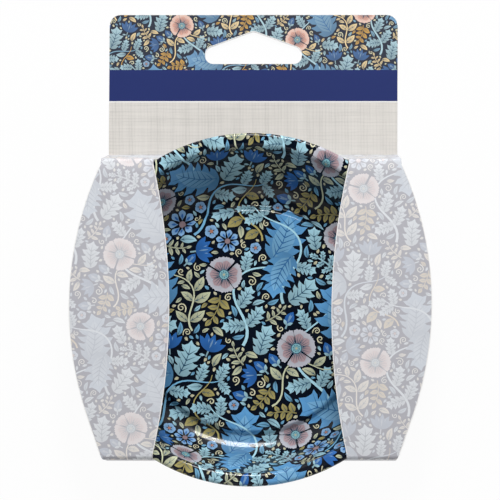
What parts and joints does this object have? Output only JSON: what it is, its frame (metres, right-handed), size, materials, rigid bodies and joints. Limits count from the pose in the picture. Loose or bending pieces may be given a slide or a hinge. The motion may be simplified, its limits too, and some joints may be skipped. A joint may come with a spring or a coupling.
{
  "type": "magnetic pin bowl",
  "caption": "Round pressed-tin magnetic pin dish with a rolled rim, held in a printed card sleeve with a hang header.",
  "frame": {"origin": "on the dish's axis, at the sleeve's back face, which is what the pack lies on", "axes": "+Z out of the dish's mouth, +Y up the header to the hang hole, +X to the right seen from the front"},
  "size_m": [0.1112, 0.1511, 0.022],
  "materials": {
    "printed_tin": "gloss lacquer over a floral print",
    "magnet": "matt grey ferrite",
    "foam_pad": "matt foam",
    "printed_card": "satin, pale floral print",
    "back_card": "satin, plain pale print",
    "header_card": "satin, linen tone with a navy band and a floral strip"
  },
  "bodies": {
    "sleeve": {"back_panel": "back_card", "header_front": "header_card", "top_panel": "printed_card", "bottom_panel": "printed_card", "front_wing_left": "printed_card", "front_wing_right": "printed_card"},
    "dish": {"dish_shell": "printed_tin", "magnet_disc": "magnet", "base_pad": "foam_pad"}
  },
  "joints": [
    {"name": "dish_turn", "type": "hinge", "parent": "sleeve", "child": "dish", "pos_m": [0, 0, 0.0105], "axis": [0, 0, 1], "continuous": true}
  ]
}
